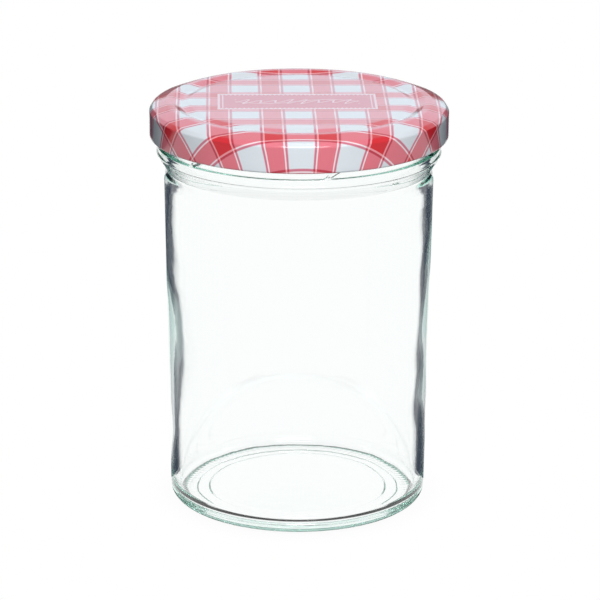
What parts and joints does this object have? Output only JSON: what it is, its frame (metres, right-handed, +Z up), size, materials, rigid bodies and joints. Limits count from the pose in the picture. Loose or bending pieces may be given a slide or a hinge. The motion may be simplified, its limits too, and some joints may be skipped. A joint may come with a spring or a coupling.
{
  "type": "preserving jar",
  "caption": "Straight-sided clear glass preserving jar with a twist-off metal lid printed in red and white gingham, empty.",
  "frame": {"origin": "centre of the base, on the surface that the jar stands on", "axes": "+Z up along the jar's axis"},
  "size_m": [0.085, 0.085, 0.1176],
  "materials": {
    "clear_glass": "clear soda-lime glass, faintly green where thick",
    "printed_lid": "glossy lacquered tinplate, printed in red gingham on white",
    "sealing_compound": "soft off-white sealing compound"
  },
  "bodies": {
    "root": {"jar_glass": "clear_glass", "lid_shell": "printed_lid", "sealing_ring": "sealing_compound"}
  },
  "joints": []
}
